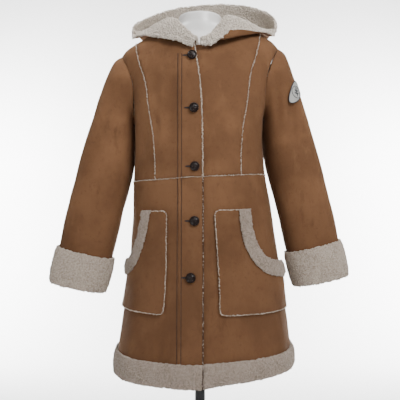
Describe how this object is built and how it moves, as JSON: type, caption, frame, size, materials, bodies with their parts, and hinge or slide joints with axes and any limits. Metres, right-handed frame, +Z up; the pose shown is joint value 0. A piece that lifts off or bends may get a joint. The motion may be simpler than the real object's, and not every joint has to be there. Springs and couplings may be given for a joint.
{
  "type": "hooded shearling jacket on a dress form",
  "caption": "Long hooded jacket of tan suede with wool inside, buttoned down the front, with patch pockets and turned-back wool cuffs, on a limbless dress form with a pole and round base.",
  "frame": {"origin": "on the floor, at the middle of the underside of the form's base", "axes": "+Z up, -Y the way the jacket's front faces, +X towards the wearer's left"},
  "size_m": [0.7239, 0.3744, 1.4838],
  "materials": {
    "suede": "brushed suede",
    "wool": "curly sheep's wool",
    "button_leather": "woven, polished",
    "badge_cloth": "embroidered",
    "form_shell": "smooth satin",
    "stand_steel": "satin"
  },
  "bodies": {
    "root": {"bodice_back": "suede", "bodice_centre_front_left": "suede", "bodice_centre_front_right": "suede", "bodice_side_front_left": "suede", "bodice_side_front_right": "suede", "skirt_back": "suede", "skirt_front_left": "suede", "skirt_front_right": "suede", "sleeve_left": "suede", "sleeve_right": "suede", "pocket_left": "suede", "pocket_right": "suede", "hood_centre": "suede", "hood_side_left": "suede", "hood_side_right": "suede", "hem_band_back": "wool", "hem_band_front_left": "wool", "hem_band_front_right": "wool", "cuff_left": "wool", "cuff_right": "wool", "pocket_band_left": "wool", "pocket_band_right": "wool", "button_1": "button_leather", "button_2": "button_leather", "button_3": "button_leather", "button_4": "button_leather", "button_5": "button_leather", "sleeve_badge": "badge_cloth", "form_torso": "form_shell", "form_pole": "stand_steel", "form_base": "stand_steel"}
  },
  "joints": []
}
